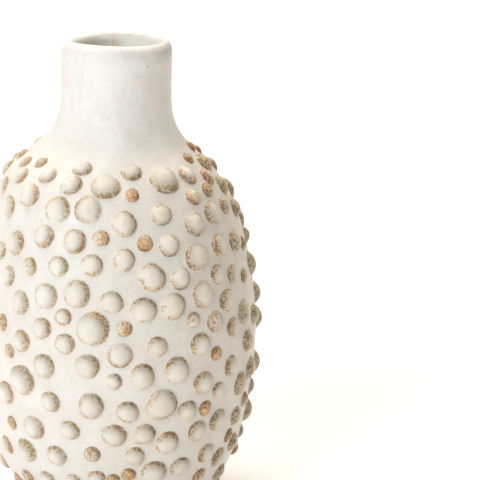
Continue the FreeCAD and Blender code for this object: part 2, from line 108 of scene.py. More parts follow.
def mean_reach(tree, start, direction):
    """Distance to the pot along a ray, averaged round the axis.

    The start and the direction are in the pot's section: outwards and up.
    """
    total = 0.0
    for outward in around():
        place = outward * start[0] + Vector((0, 0, start[1]))
        towards = outward * direction[0] + Vector((0, 0, direction[1]))
        total += (tree.ray_cast(place, towards)[0] - place).length
    return total / PROBE_DIRECTIONS


def outside_radius(tree, height):
    """Outside radius of the pot at a height."""
    return PROBE_REACH - mean_reach(tree, (PROBE_REACH, height), (-1, 0))


def inside_radius(tree, height):
    """Inside radius of the pot at a height."""
    return mean_reach(tree, (0, height), (1, 0))


def smoothed(values, passes):
    """The values with facet steps ironed out; both ends stay."""
    values = np.array(values, float)
    for _ in range(passes):
        values[1:-1] = (values[:-2] + 2 * values[1:-1] + values[2:]) / 4
    return values


def row_heights(seams, step):
    """Heights of the rows between the lowest and the highest seam, with a row on every seam."""
    runs = [np.linspace(low, high, max(2, round((high - low) / step) + 1))
            for low, high in zip(seams, seams[1:])]
    return np.unique(np.concatenate(runs))


def lip_roll(height):
    """How far the rolled lip narrows the throat at a height."""
    depth = VASE_TOP - np.asarray(height)
    onset = np.clip(depth / ROLL_DEPTH, 0, 1)
    fade = np.clip((ROLL_LENGTH - depth) / (ROLL_LENGTH - ROLL_DEPTH), 0, 1)
    return ROLL_REACH * np.sin(onset * math.pi / 2) * fade ** 2 * (3 - 2 * fade)


def inner_share(angle):
    """How far a point of the lip belongs to the inside: nought outside, one inside."""
    return (1 - np.cos(angle)) / 2


def measured_outside(tree):
    """Heights and radii of the outside, from the foot to the lip."""
    seams = [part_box(node)[0].z for node in GLAZED_NODES] + [LIP_BOTTOM]
    heights = row_heights(seams, OUTER_ROW)
    radii = [outside_radius(tree, max(height, seams[0] + PROBE_CLEARANCE))
             for height in heights]
    return heights, smoothed(radii, OUTER_PASSES)


def measured_inside(tree):
    """Heights and radii of the inside, from the floor to the lip."""
    seams = [FLOOR_TOP] + [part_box(node)[1].z for node in WALL_NODES] + [LIP_BOTTOM]
    heights = row_heights(seams, INNER_ROW)
    radii = [inside_radius(tree, max(height, FLOOR_TOP + PROBE_CLEARANCE))
             for height in heights]
    return heights, smoothed(radii, INNER_PASSES)


def measured_lip(tree, outer_end, inner_end):
    """Points of the rolled lip as (radius, height), from the outside to the inside."""
    middle = (outer_end + inner_end) / 2
    reaches = smoothed([mean_reach(tree, (middle, LIP_BOTTOM), (math.cos(angle), math.sin(angle)))
                        for angle in LIP_ANGLES], LIP_PASSES)
    points = []
    for reach, angle in zip(reaches, LIP_ANGLES):
        height = LIP_BOTTOM + reach * math.sin(angle)
        radius = middle + reach * math.cos(angle) - inner_share(angle) * lip_roll(height)
        points.append((radius, height))
    return points[1:-1]


POT_TREE = ray_tree(GLAZED_NODES)
OUTER_HEIGHTS, OUTER_RADII = measured_outside(POT_TREE)
INNER_HEIGHTS, STRAIGHT_RADII = measured_inside(POT_TREE)
LIP_POINTS = measured_lip(POT_TREE, OUTER_RADII[-1], STRAIGHT_RADII[-1])
INNER_RADII = STRAIGHT_RADII - lip_roll(INNER_HEIGHTS)

# ---- hand-made unevenness
# The pot is not quite round: its shoulder is fuller on the left than on the right.
FULL_SIDE = math.radians(-90)
FULL_HEIGHT = 0.735 * VASE_TOP
FULL_SPREAD = 0.066 * VASE_TOP
FULL_SWING = 0.0034
FULL_SWELL = 0.0014
# Shallow dents and swellings: how many, how deep, their waves round the pot and up it.
DENT_SEED = 11
DENT_COUNT = 14
DENT_DEPTH = 0.00016
DENT_SHARES = (0.5, 1.5)
DENT_WAVES = (2, 3, 4, 5, 7)
DENT_HEIGHTS = (0.06, 0.16)
# Throwing rings.
RING_PITCH = 0.0085
RING_DEPTH = 0.00005
# The lip rises and falls: waves round it, their share of the height, and their phase.
LIP_WAVE = 0.00035
LIP_WAVES = ((2, 1.0, 0.6), (3, 0.5, 2.1))
LIP_WAVE_START = 0.85 * VASE_TOP
# On the back right the inner edge of the lip is worn back and slopes into the throat.
WORN_TURN = math.radians(122)
WORN_REACH = 0.0046
WORN_DEPTH = 0.0105


def dent_waves():
    """Seeded list of (depth, waves round, wave height, phase round, phase up)."""
    dice = random.Random(DENT_SEED)
    return [(DENT_DEPTH * dice.uniform(*DENT_SHARES), dice.choice(DENT_WAVES),
             dice.uniform(*DENT_HEIGHTS), dice.uniform(0, math.tau), dice.uniform(0, math.tau))
            for _ in range(DENT_COUNT)]


DENTS = dent_waves()


def unevenness(turn, height):
    """How far the surface stands off the true turned form, outwards."""
    bump = np.exp(-((height - FULL_HEIGHT) / FULL_SPREAD) ** 2)
    offset = bump * (FULL_SWING * np.cos(turn - FULL_SIDE) + FULL_SWELL)
    for depth, waves, wave_height, phase_round, phase_up in DENTS:
        offset = offset + (depth * np.cos(waves * turn + phase_round)
                           * np.cos(math.tau * height / wave_height + phase_up))
    return offset + RING_DEPTH * np.sin(math.tau * height / RING_PITCH + turn)


def lip_lift(turn, height):
    """Slow rise and fall of the lip; nothing below the neck."""
    share = np.clip((height - LIP_WAVE_START) / (VASE_TOP - LIP_WAVE_START), 0, 1) ** 2
    waves = sum(size * np.cos(count * turn + phase) for count, size, phase in LIP_WAVES)
    return LIP_WAVE * share * waves


def skin_point(turn, radius, height):
    """Points of a turned surface with the pot's unevenness, as an array of x, y, z."""
    uneven_radius = radius + unevenness(turn, height)
    return np.stack([uneven_radius * np.sin(turn), -uneven_radius * np.cos(turn),
                     height + lip_lift(turn, height)], axis=-1)


def outer_radius(height):
    """Outer radius of the true form at a height."""
    return np.interp(height, OUTER_HEIGHTS, OUTER_RADII)


def outer_point(turn, height):
    """Point of the uneven outer skin."""
    return skin_point(turn, outer_radius(height), height)


# ---- turned pieces
COLUMNS = 360
MERGE_DISTANCE = 0.00001
GLAZE_LINE = 0.0065
# Painted shadow round the beads, on the wall and on each bead's foot, heaviest on their lower right:
# how far it reaches, which side of a bead it favours and how much, and where on the bead it starts,
# in bead radii.
SHADOW_WIDTH = 0.0042
SHADOW_SIDE = Vector((0.85, -0.53))
SHADOW_LEAN = 0.5
SHADOW_START = 0.78
# Raw clay: the foot ring's worn edges, and the trimming rings under the slab.
CLAY_SHARP_ANGLE = math.radians(35)
EDGE_ROUND = 0.0009
EDGE_POINTS = 6
SLAB_RINGS = 46
TRIM_PITCH = 0.0042
TRIM_DEPTH = 0.00018


def column_turns():
    """Angles of the columns of every turned mesh."""
    return np.linspace(0, math.tau, COLUMNS, endpoint=False)


def worn_lip(points, shares):
    """The points with the lip's inner edge worn back on its worn side, row by row."""
    turns = column_turns()
    depth = VASE_TOP - points[:, :, 2]
    side = np.clip(np.cos(turns - WORN_TURN), 0, 1)
    wear = WORN_REACH * shares[:, None] * np.clip(1 - depth / WORN_DEPTH, 0, 1) * side
    outward = np.stack([np.sin(turns), -np.cos(turns), np.zeros(COLUMNS)], axis=-1)
    return points + wear[:, :, None] * outward


def turned_grid(section):
    """Grid of points, one row per (radius, height) of the section, one column per angle."""
    section = np.array(section, float)
    return skin_point(column_turns()[None, :], section[:, :1], section[:, 1:])


def grid_normals(points):
    """Unit normals of a turned grid, pointing out of the clay."""
    along = np.gradient(points, axis=0)
    across = np.roll(points, -1, axis=1) - np.roll(points, 1, axis=1)
    normals = np.cross(across, along)
    return normals / np.linalg.norm(normals, axis=2, keepdims=True)


def ring_faces(rows):
    """Quads between the rows of a turned grid, the last row joined to the first."""
    row = np.arange(rows)[:, None]
    column = np.arange(COLUMNS)[None, :]
    next_row = (row + 1) % rows
    next_column = (column + 1) % COLUMNS
    corners = [row * COLUMNS + column, row * COLUMNS + next_column,
               next_row * COLUMNS + next_column, next_row * COLUMNS + column]
    return np.stack(corners, axis=-1).reshape(-1, 4)


def new_piece(name, points, faces, materials):
    """A smooth mesh object in the CAD frame."""
    mesh = bpy.data.meshes.new(name)
    mesh.from_pydata(points.reshape(-1, 3).tolist(), [], faces)
    mesh.polygons.foreach_set("use_smooth", [True] * len(mesh.polygons))
    for material in materials:
        mesh.materials.append(material)
    piece = bpy.data.objects.new(name, mesh)
    bpy.context.scene.collection.objects.link(piece)
    return piece


def add_attribute(mesh, name, values):
    """Store one number or one vector per vertex for the glaze to read."""
    kind, key = ("FLOAT_VECTOR", "vector") if values.shape[-1] == 3 else ("FLOAT", "value")
    attribute = mesh.attributes.new(name, kind, "POINT")
    attribute.data.foreach_set(key, np.ascontiguousarray(values, np.float32).reshape(-1))


def shadow_share(away, side):
    """Strength of the painted shadow at a distance from a bead's rim; side is -1 to 1."""
    return np.clip(1 - away / SHADOW_WIDTH, 0, 1) ** 2 * (1 - SHADOW_LEAN + SHADOW_LEAN * side)


def wall_bead_shadow(points, beads):
    """Painted shadow on the wall round every bead, one number for each point of the grid."""
    pool = np.zeros(points.shape[:2])
    for turn, height, radius in beads:
        sideways, upward, _ = bead_axes(turn, height)
        rows = np.abs(points[:, 0, 2] - height) < radius + SHADOW_WIDTH
        offset = points[rows] - outer_point(turn, height)
        distance = np.linalg.norm(offset, axis=-1)
        side = offset @ np.array(sideways * SHADOW_SIDE.x + upward * SHADOW_SIDE.y) / distance
        pool[rows] = np.maximum(pool[rows], shadow_share(distance - radius, side))
    return pool


def glazed_section(name, runs, material):
    """Closed ring made of runs of (points, normals, painted shadow); faces that join two runs are
    flat.
    """
    points = np.concatenate([run[0] for run in runs])
    normals = np.concatenate([run[1] for run in runs]).reshape(-1, 3)
    faces = ring_faces(len(points))
    piece = new_piece(name, points, faces.tolist(), [material])
    corner_normals = normals[faces]
    run_ends = np.cumsum([len(run[0]) for run in runs]) - 1
    flat_normals = np.zeros((len(faces), 3))
    piece.data.polygons.foreach_get("normal", flat_normals.reshape(-1))
    for last_row in run_ends:
        joint = slice(last_row * COLUMNS, (last_row + 1) * COLUMNS)
        corner_normals[joint] = flat_normals[joint][:, None, :]
    piece.data.normals_split_custom_set(corner_normals.reshape(-1, 3).tolist())
    add_attribute(piece.data, "painted_bead_shadow", np.concatenate([run[2] for run in runs]))
    return piece


class Skin:
    """The glazed surface from the foot over the lip down to the floor, in rows to cut up."""

    def __init__(self, beads):
        outer = list(zip(OUTER_RADII, OUTER_HEIGHTS))
        inner = list(zip(INNER_RADII, INNER_HEIGHTS))[::-1]
        shares = np.concatenate([np.zeros(len(outer)), inner_share(LIP_ANGLES[1:-1]),
                                 np.ones(len(inner))])
        self.points = worn_lip(turned_grid(outer + LIP_POINTS + inner), shares)
        self.normals = grid_normals(self.points)
        self.pool = np.zeros(self.points.shape[:2])
        self.pool[:len(outer)] = wall_bead_shadow(self.points[:len(outer)], beads)
        self.inner_start = len(outer) + len(LIP_POINTS)

    def outer_row(self, height):
        """The row of the outside at a height."""
        return int(np.argmin(np.abs(OUTER_HEIGHTS - height)))

    def inner_row(self, height):
        """The row of the inside at a height."""
        return self.inner_start + int(np.argmin(np.abs(INNER_HEIGHTS[::-1] - height)))

    def run(self, first, last):
        """Points, normals and painted shadow of the rows from first to last."""
        rows = slice(first, last + 1)
        return self.points[rows], self.normals[rows], self.pool[rows]


def slab_seat(bottom):
    """The inner side of the lowest round, against the base slab, as a run of two rows."""
    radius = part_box(SLAB_NODE)[1].x
    points = turned_grid([(radius, FLOOR_TOP), (radius, bottom)])
    return points, grid_normals(points), np.zeros(points.shape[:2])


def build_glazed_sections(material, beads):
    """The wall's rounds and the neck, each a closed ring of its own, cut from one skin."""
    skin = Skin(beads)
    neck_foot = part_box(NECK_NODE)[0].z
    inner_bottom = FLOOR_TOP
    pieces = []
    for node in WALL_NODES:
        low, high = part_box(node)
        runs = [skin.run(skin.outer_row(low.z), skin.outer_row(min(high.z, neck_foot))),
                skin.run(skin.inner_row(high.z), skin.inner_row(inner_bottom))]
        if node == WALL_NODES[0]:
            runs.append(slab_seat(low.z))
        pieces.append((node, glazed_section("glazed_" + node, runs, material)))
        inner_bottom = high.z
    neck = [skin.run(skin.outer_row(neck_foot), skin.inner_row(inner_bottom))]
    pieces.append((NECK_NODE, glazed_section("glazed_" + NECK_NODE, neck, material)))
    return pieces


def worn_edge(radius, height, start, end):
    """Points of a quarter circle round a place in a section, angles in degrees."""
    return [(radius + EDGE_ROUND * math.cos(math.radians(angle)),
             height + EDGE_ROUND * math.sin(math.radians(angle)))
            for angle in np.linspace(start, end, EDGE_POINTS)]


def build_foot_ring(material):
    """The raw clay ring with its edges worn round."""
    low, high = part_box(RING_NODE)
    outer = high.x
    inner = min(math.hypot(vertex.co.x, vertex.co.y)
                for vertex in frame["nodes"][RING_NODE].data.vertices)
    section = worn_edge(outer - EDGE_ROUND, low.z + EDGE_ROUND, -90, 0)
    section += [(outer, high.z), (inner, high.z)]
    section += worn_edge(inner + EDGE_ROUND, low.z + EDGE_ROUND, 180, 270)
    faces = ring_faces(len(section)).tolist()
    piece = new_piece("raw_foot_ring", turned_grid(section), faces, [material])
    piece.data.set_sharp_from_angle(angle=CLAY_SHARP_ANGLE)
    return piece


def build_base_slab(clay, glaze):
    """Clay disc with trimming rings underneath and glaze on the floor inside."""
    low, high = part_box(SLAB_NODE)
    reach = np.linspace(high.x, 0, SLAB_RINGS)
    wave = np.sin(math.tau * reach / TRIM_PITCH)
    fade = np.clip(reach / TRIM_PITCH, 0, 1) * np.clip((high.x - reach) / TRIM_PITCH, 0, 1)
    floor = list(zip(reach, high.z - TRIM_DEPTH * fade * (1 + wave)))
    under = list(zip(reach, low.z + TRIM_DEPTH * fade * (1 + wave)))[::-1]
    points = turned_grid(floor + under)
    faces = ring_faces(len(points)).tolist()
    piece = new_piece("raw_base_slab", points, faces, [clay, glaze])
    floor_faces = (SLAB_RINGS - 1) * COLUMNS
    piece.data.polygons.foreach_set("material_index", [1] * floor_faces
                                    + [0] * (len(faces) - floor_faces))
    tidy = bmesh.new()
    tidy.from_mesh(piece.data)
    bmesh.ops.remove_doubles(tidy, verts=tidy.verts, dist=MERGE_DISTANCE)
    bmesh.ops.dissolve_degenerate(tidy, edges=tidy.edges, dist=MERGE_DISTANCE)
    tidy.to_mesh(piece.data)
    tidy.free()
    piece.data.set_sharp_from_angle(angle=CLAY_SHARP_ANGLE)
    return piece


# ---- beads
RIM_FACE_ANGLE = math.radians(60)
SLOPE_STEP = 0.002
# Bead form, in bead radii: a dome, from FILLET_START a glaze fillet that meets the wall, and a
# hidden skirt sunk a little, in metres, into the glaze skin.
SPOKES = 40
DOME_RINGS = 12
FILLET_RINGS = 5
FILLET_START = 0.91
BEAD_RISE = 0.56
RISE_SPREAD = 0.03
SINK_REACH = 0.05
SINK_DEPTH = 0.0003
# How far a bead is out of round, in bead radii: an oval wave of up to this size, and
# three-sided and five-sided waves that are shares of it.
OUT_OF_ROUND = 0.042
LEAST_OVAL = 0.3
THREE_SIDED = 0.4
FIVE_SIDED = 0.25
# Beads up to the first width are toasted brown all over, from the second width on not at all.
TOASTED_SIZE = 0.0090
CREAM_SIZE = 0.0108
TOAST_SPREAD = 0.0008
# The kiln's flame came from the front, a little to the right, and broke the glaze on the side of
# each bead that faces it: in a wide crescent on the beads to its right, a narrow one on the rest.
FLAME_TURN = math.radians(30)
FLAME_RISE = 0.19
FLAME = Vector((math.sin(FLAME_TURN), -math.cos(FLAME_TURN), FLAME_RISE)).normalized()
GROWTH_RIGHT = 0.48
GROWTH_LEFT = 0.09
GROWTH_UPRIGHT = 0.20
FLAME_WANDER = 0.028
THIN_CRESCENT = 0.105
RIM_MARGIN = 0.11


def rim_loops(node):
    """The rim of every bead of a course: lists of points where dome and wall side meet."""
    shape = bmesh.new()
    shape.from_mesh(frame["nodes"][node].data)
    bmesh.ops.remove_doubles(shape, verts=shape.verts, dist=MERGE_DISTANCE)
    rims = {edge for edge in shape.edges
            if len(edge.link_faces) == 2 and edge.calc_face_angle(0) > RIM_FACE_ANGLE}
    loops = []
    while rims:
        first = rims.pop()
        waiting = [first]
        loop = [first]
        while waiting:
            edge = waiting.pop()
            for vertex in edge.verts:
                for other in vertex.link_edges:
                    if other in rims:
                        rims.remove(other)
                        waiting.append(other)
                        loop.append(other)
        loops.append([((edge.verts[0].co + edge.verts[1].co) / 2, edge.calc_length())
                      for edge in loop])
    shape.free()
    return loops


def bead_sites(node):
    """Every bead of a course as (angle, height, radius), in a settled order."""
    sites = []
    for loop in rim_loops(node):
        length = sum(weight for _, weight in loop)
        centre = sum((point * weight for point, weight in loop), Vector()) / length
        radius = sum((point - centre).length * weight for point, weight in loop) / length
        sites.append((math.atan2(centre.x, -centre.y), centre.z, radius))
    return sorted(sites)


def bead_rings(rise):
    """Reach and height of every ring of a bead, both in bead radii, apex left out."""
    ball = (1 + rise ** 2) / (2 * rise)
    dome = np.linspace(0, FILLET_START, DOME_RINGS + 1)[1:]
    dome_heights = np.sqrt(ball ** 2 - dome ** 2) - (ball - rise)
    slope = FILLET_START / math.sqrt(ball ** 2 - FILLET_START ** 2)
    fillet_width = 2 * dome_heights[-1] / slope
    share = np.linspace(0, 1, FILLET_RINGS + 1)[1:]
    fillet = FILLET_START + fillet_width * share
    fillet_heights = dome_heights[-1] * (1 - share) ** 2
    return np.concatenate([dome, fillet]), np.concatenate([dome_heights, fillet_heights])


def bead_axes(turn, height):
    """Unit vectors at a bead's foot: sideways, up the wall, out of the wall."""
    sideways = Vector((math.cos(turn), math.sin(turn), 0))
    upper = Vector(outer_point(turn, height + SLOPE_STEP))
    lower = Vector(outer_point(turn, height - SLOPE_STEP))
    upward = (upper - lower).normalized()
    return sideways, upward, sideways.cross(upward).normalized()


def flame_lean(sideways, upward, dice):
    """How far the clean glaze is pushed back across a bead, in the bead's own plane."""
    across = FLAME.dot(sideways)
    across *= GROWTH_LEFT if across > 0 else GROWTH_RIGHT
    along = FLAME.dot(upward) * GROWTH_UPRIGHT
    return Vector((across + dice.gauss(0, FLAME_WANDER), along + dice.gauss(0, FLAME_WANDER)))


def bead_outline(spoke, dice):
    """How far out the bead's rim lies on every spoke, as a share of its radius."""
    phases = [dice.uniform(0, math.tau) for _ in range(3)]
    return (1 + OUT_OF_ROUND * dice.uniform(LEAST_OVAL, 1) * np.cos(2 * spoke + phases[0])
            + OUT_OF_ROUND * THREE_SIDED * np.cos(3 * spoke + phases[1])
            + OUT_OF_ROUND * FIVE_SIDED * np.cos(5 * spoke + phases[2]))


def bead_places(reaches, across, along, lean):
    """For every point: reach from the apex, way beyond the clean glaze, way to the flame."""
    shift = THIN_CRESCENT + lean.length
    flame_side = lean.normalized()
    towards = across * flame_side.x + along * flame_side.y
    from_clean = np.hypot(across + shift * flame_side.x, along + shift * flame_side.y)
    beyond = from_clean - (1 + RIM_MARGIN - shift)
    return np.stack([np.broadcast_to(reaches, across.shape), beyond, towards], axis=-1)


def bead_tone(radius, dice):
    """How toasted the bead is, by its size and chance, and two free numbers for its colour."""
    toasted = (CREAM_SIZE - 2 * radius + dice.gauss(0, TOAST_SPREAD)) / (CREAM_SIZE - TOASTED_SIZE)
    return min(max(toasted, 0.0), 1.0), dice.random(), dice.random()


def bead_foot_shadow(radius, reaches, across, along):
    """Painted shadow on the bead's own foot."""
    side = (across * SHADOW_SIDE.x + along * SHADOW_SIDE.y) / np.maximum(reaches, SHADOW_START)
    onset = np.clip((reaches - SHADOW_START) / (1 - SHADOW_START), 0, 1)
    return onset * shadow_share(radius * np.maximum(reaches - 1, 0), side)


def bead_vertices(site, dice):
    """Points of one bead and, for each, its place on the bead, painted shadow and tone."""
    turn, height, radius = site
    sideways, upward, outward = bead_axes(turn, height)
    rise = BEAD_RISE + dice.uniform(-RISE_SPREAD, RISE_SPREAD)
    reaches, heights = bead_rings(rise)
    reaches = np.concatenate([[0.0], reaches, [reaches[-1] + SINK_REACH]])[:, None]
    heights = np.concatenate([[rise], heights, [-SINK_DEPTH / radius]])
    spoke = np.linspace(0, math.tau, SPOKES, endpoint=False)
    outline = bead_outline(spoke, dice)
    across = reaches * outline * np.cos(spoke)
    along = reaches * outline * np.sin(spoke)
    foot_turn = turn + radius * across / outer_radius(height)
    foot_height = height + radius * along * upward.z
    points = outer_point(foot_turn, foot_height)
    points = points + (radius * heights)[:, None, None] * np.array(outward)
    place = bead_places(reaches, across, along, flame_lean(sideways, upward, dice))
    pool = bead_foot_shadow(radius, reaches, across, along)
    one_apex = [0] + list(range(SPOKES, len(reaches) * SPOKES))
    vertices = np.concatenate([points.reshape(-1, 3)[one_apex], [points[-1].mean(axis=0)]])
    places = np.concatenate([place.reshape(-1, 3)[one_apex], [[reaches[-1, 0], 0, 0]]])
    shadows = np.append(pool.reshape(-1)[one_apex], 0.0)
    tones = np.tile(bead_tone(radius, dice), (len(vertices), 1))
    return vertices, places, shadows, tones


def bead_faces():
    """Faces of one bead: a fan at the apex, quads between rings, a hidden fan underneath."""
    rings = DOME_RINGS + FILLET_RINGS + 1
    faces = []
    for spoke in range(SPOKES):
        following = (spoke + 1) % SPOKES
        faces.append((0, 1 + spoke, 1 + following))
        for ring in range(rings - 1):
            inner, outer = 1 + ring * SPOKES, 1 + (ring + 1) * SPOKES
            faces.append((inner + spoke, outer + spoke, outer + following, inner + following))
        last = 1 + (rings - 1) * SPOKES
        faces.append((last + following, last + spoke, last + SPOKES))
    return faces


def build_bead_course(node, sites, material):
    """All beads of one course as a single piece of closed beads."""
    dice = random.Random(node)
    beads = [bead_vertices(site, dice) for site in sites]
    vertices, places, shadows, tones = (np.concatenate(parts) for parts in zip(*beads))
    bead_size = len(vertices) // len(beads)
    pattern = bead_faces()
    faces = [tuple(bead * bead_size + corner for corner in face)
             for bead in range(len(beads)) for face in pattern]
    piece = new_piece("glazed_" + node, vertices, faces, [material])
    add_attribute(piece.data, "bead_place", places)
    add_attribute(piece.data, "bead_tone", tones)
    add_attribute(piece.data, "painted_bead_shadow", shadows)
    return piece


# ---- material helpers
class Recipe:
    """A material or world under construction: adds nodes and wires them by socket name."""

    def __init__(self, owner, shader="Principled BSDF"):
        owner.use_nodes = True
        self.owner = owner
        self.tree = owner.node_tree
        self.shader = self.tree.nodes[shader]
        self.coordinates = self.add("ShaderNodeTexCoord").outputs
        self.place = self.coordinates["Object"]

    def add(self, kind, inputs=(), **settings):
        """A node with its settings; inputs are (socket name or number, value or output)."""
        node = self.tree.nodes.new(kind)
        for name, value in settings.items():
            setattr(node, name, value)
        for socket, value in inputs:
            self.feed(node.inputs[socket], value)
        return node

    def feed(self, socket, value):
        """Wire an output into a socket, or set the socket's own value."""
        if isinstance(value, bpy.types.NodeSocket):
            self.tree.links.new(value, socket)
        else:
            socket.default_value = value

    def maths(self, operation, first, second=0.0):
        """One operation on two numbers."""
        return self.add("ShaderNodeMath", ((0, first), (1, second)),
                        operation=operation).outputs[0]

    def product(self, *factors):
        """All the factors multiplied together."""
        result = factors[0]
        for factor in factors[1:]:
            result = self.maths("MULTIPLY", result, factor)
        return result

    def total(self, *parts):
        """All the parts added together."""
        result = parts[0]
        for part in parts[1:]:
            result = self.maths("ADD", result, part)
        return result

    def clamp(self, value):
        """The number held between nought and one."""
        return self.add("ShaderNodeClamp", (("Value", value),)).outputs[0]

    def rise(self, value, low, high, bottom=0.0, top=1.0):
        """Smooth step of a number from bottom at low to top at high."""
        return self.add("ShaderNodeMapRange",
                        (("Value", value), ("From Min", low), ("From Max", high),
                         ("To Min", bottom), ("To Max", top)),
                        interpolation_type="SMOOTHSTEP").outputs[0]

    def fall(self, value, low, high, top=1.0):
        """Smooth step of a number from top at low to nought at high."""
        return self.rise(value, low, high, top, 0.0)

    def stretched(self, scale):
        """The object place with each axis scaled."""
        return self.add("ShaderNodeMapping", (("Vector", self.place), ("Scale", scale))).outputs[0]

    def noise(self, size, detail=3.0, roughness=0.5, place=None):
        """Cloudy noise whose patches are about this size in metres."""
        return self.add("ShaderNodeTexNoise",
                        (("Vector", place or self.place), ("Scale", 1 / size),
                         ("Detail", detail), ("Roughness", roughness))).outputs[0]

    def patches(self, size, limits, values=(0.0, 1.0), **texture):
        """Soft-edged patches: noise of this size turned from one value to the other."""
        return self.rise(self.noise(size, **texture), *limits, *values)

    def swing(self, size, amount, **texture):
        """Noise of this size that swings up and down about nought by half the amount."""
        return self.product(self.maths("SUBTRACT", self.noise(size, **texture), 0.5), amount)

    def cells(self, size):
        """Distance to the middle of cells that are about this size in metres."""
        return self.add("ShaderNodeTexVoronoi",
                        (("Vector", self.place), ("Scale", 1 / size))).outputs["Distance"]

    def attribute(self, name, output):
        """A number or vector stored with the mesh."""
        return self.add("ShaderNodeAttribute", attribute_name=name).outputs[output]

    def parts(self, vector):
        """The three numbers of a vector."""
        return self.add("ShaderNodeSeparateXYZ", ((0, vector),)).outputs

    def blend(self, share, first, second):
        """Colour running from first to second as share goes from nought to one."""
        return self.add("ShaderNodeMix", ((0, share), (6, first), (7, second)),
                        data_type="RGBA").outputs[2]

    def bump(self, height, strength, distance, under=None):
        """Surface relief; distance in metres."""
        inputs = [("Height", height), ("Strength", strength), ("Distance", distance)]
        if under is not None:
            inputs.append(("Normal", under))
        return self.add("ShaderNodeBump", inputs).outputs[0]

    def relief(self, layers):
        """Noisy relief in layers of (size, detail, roughness, strength, distance)."""
        normal = None
        for size, detail, roughness, strength, distance in layers:
            height = self.noise(size, detail, roughness)
            normal = self.bump(height, strength, distance, normal)
        return normal

    def surface(self, colour, roughness, normal):
        """Feed the material's shader; returns the material."""
        self.feed(self.shader.inputs["Base Color"], colour)
        self.feed(self.shader.inputs["Roughness"], roughness)
        self.feed(self.shader.inputs["Normal"], normal)
        return self.owner


# ---- glaze and clay
CREAM = (0.86, 0.835, 0.77, 1)
WARM_CREAM = (0.80, 0.74, 0.665, 1)
COOL_CREAM = (0.72, 0.725, 0.65, 1)
# Straw: a tone the beads have by chance, and painted shade where it rises towards the pot's right.
STRAW_AND_SHADE = (0.745, 0.66, 0.485, 1)
THIN_GLAZE = (0.50, 0.44, 0.365, 1)
SPECK = (0.20, 0.17, 0.13, 1)
HONEY = (0.68, 0.58, 0.39, 1)
# Grey of the painted shadow round the beads and of the painted shade inside the neck.
PAINTED_SHADE_GREY = (0.60, 0.555, 0.46, 1)
# Olive stain, partly the glaze's colour and partly painted shade on the beads' flame-side rims.
STAIN_AND_SHADE = (0.47, 0.40, 0.27, 1)
GOLD = (0.64, 0.49, 0.26, 1)
TAN = (0.70, 0.43, 0.20, 1)
UMBER = (0.19, 0.12, 0.03, 1)
RUST = (0.28, 0.105, 0.02, 1)
BUFF = (0.56, 0.43, 0.29, 1)
PALE_BUFF = (0.68, 0.56, 0.41, 1)
IRON = (0.16, 0.09, 0.05, 1)
PINHOLE = (0.10, 0.08, 0.06, 1)
GLAZE_IOR = 1.5

# In what follows a pair is the two places between which a look comes or goes, or its least
# and its most.
# Sideways places between which a tint rises from the left of the pot to its right, and where the
# kiln's flame only grazed the pot.
RIGHTWARD_RISES = (-0.06, 0.03)
FLAME_PASSES = (0.050, 0.078)
# Heights between which the straw painted shade on the body's right gives way to the neck's glaze.
BODY_ENDS = (0.70 * VASE_TOP, 0.80 * VASE_TOP)

# Cream glaze: how large its clouds, runs, mottling and specks are, and how strongly they show.
CLOUD_SIZE = 0.022
CLOUD_SHARE = 0.65
RUN_SIZE = 0.008
RUN_STRETCH = (1, 1, 0.22)
RUN_SHARE = 0.16
RUN_MOTTLE = 0.44
MOTTLE_SIZE = 0.0026
MOTTLE_SHARE = 0.28
SPECK_SPACING = 0.0042
SPECK_EDGE = (0.05, 0.1)
SPECK_GROUPS = 0.012
SPECK_SHARE = 0.5
# Least and most of the straw on the body from left to right: painted shade of its right side.
WALL_RIGHT_SHADE = (0.12, 0.26)
# Patches of the painted shadow round the beads, and its least and most strength.
SHADOW_PATCHES = 0.004
SHADOW_SHARES = (0.18, 0.50)

# Thin glaze on the outer corner of the lip: depths below the top, and sideways.
CORNER_TOP = (0.0014, 0.0038)
CORNER_FOOT = (0.0055, 0.0125)
CORNER_SIDE = (-0.014, 0.030)
CORNER_LEAST = 0.14
CORNER_SHARE = 0.62
CORNER_PATCHES = 0.016
CORNER_GRAIN = 0.0014

# One pinhole in the glaze of the neck: angle, depth below the lip, size of its core and edge.
PINHOLE_TURN = math.radians(33.3)
PINHOLE_DROP = 0.0111
PINHOLE_EDGE = (0.00028, 0.0007)
PINHOLE_SHARE = 0.75

# Painted shade inside the neck under the lip, heaviest on the left: distance from the axis, depth
# below the top, and sideways.
THROAT_WALL = (0.0238, 0.0262)
THROAT_DEPTH = (0.0020, 0.0050)
THROAT_SIDE = (-0.004, 0.012)
THROAT_SHADE_SHARE = 0.55

# A run of thin glaze down the back of the throat.
DRIP_SIDE = (0.0005, 0.0048)
DRIP_FRONT = (0.012, 0.018)
DRIP_BACK = (0.0235, 0.0262)
DRIP_END = (0.015, 0.045)
DRIP_GRAIN = 0.0016
DRIP_SHARE = 0.8

# The glaze is wiped off at the foot, to a line that wanders up and down.
LINE_WANDER = 0.002
LINE_WAVES = 0.02
LINE_SOFTNESS = 0.0004
TOASTED_EDGE = (0.0002, 0.0022)
TOASTED_SHARE = 0.8
TOASTED_GRAIN = 0.0012

GLOSS_PATCHES = 0.006
GLAZE_ROUGHNESS = (0.42, 0.56)
BARE_ROUGHNESS = 0.85
# Relief in layers: patch size, detail and roughness of the noise, strength, depth in metres.
GLAZE_RELIEF = ((0.013, 2.0, 0.5, 0.7, 0.0012),
                (0.0035, 3.0, 0.55, 0.45, 0.0006),
                (0.0007, 2.0, 0.6, 0.25, 0.0001))
BEAD_RELIEF = ((0.003, 3.0, 0.55, 0.45, 0.0004),)
CLAY_RELIEF = ((0.0009, 3.0, 0.7, 0.6, 0.0003),)

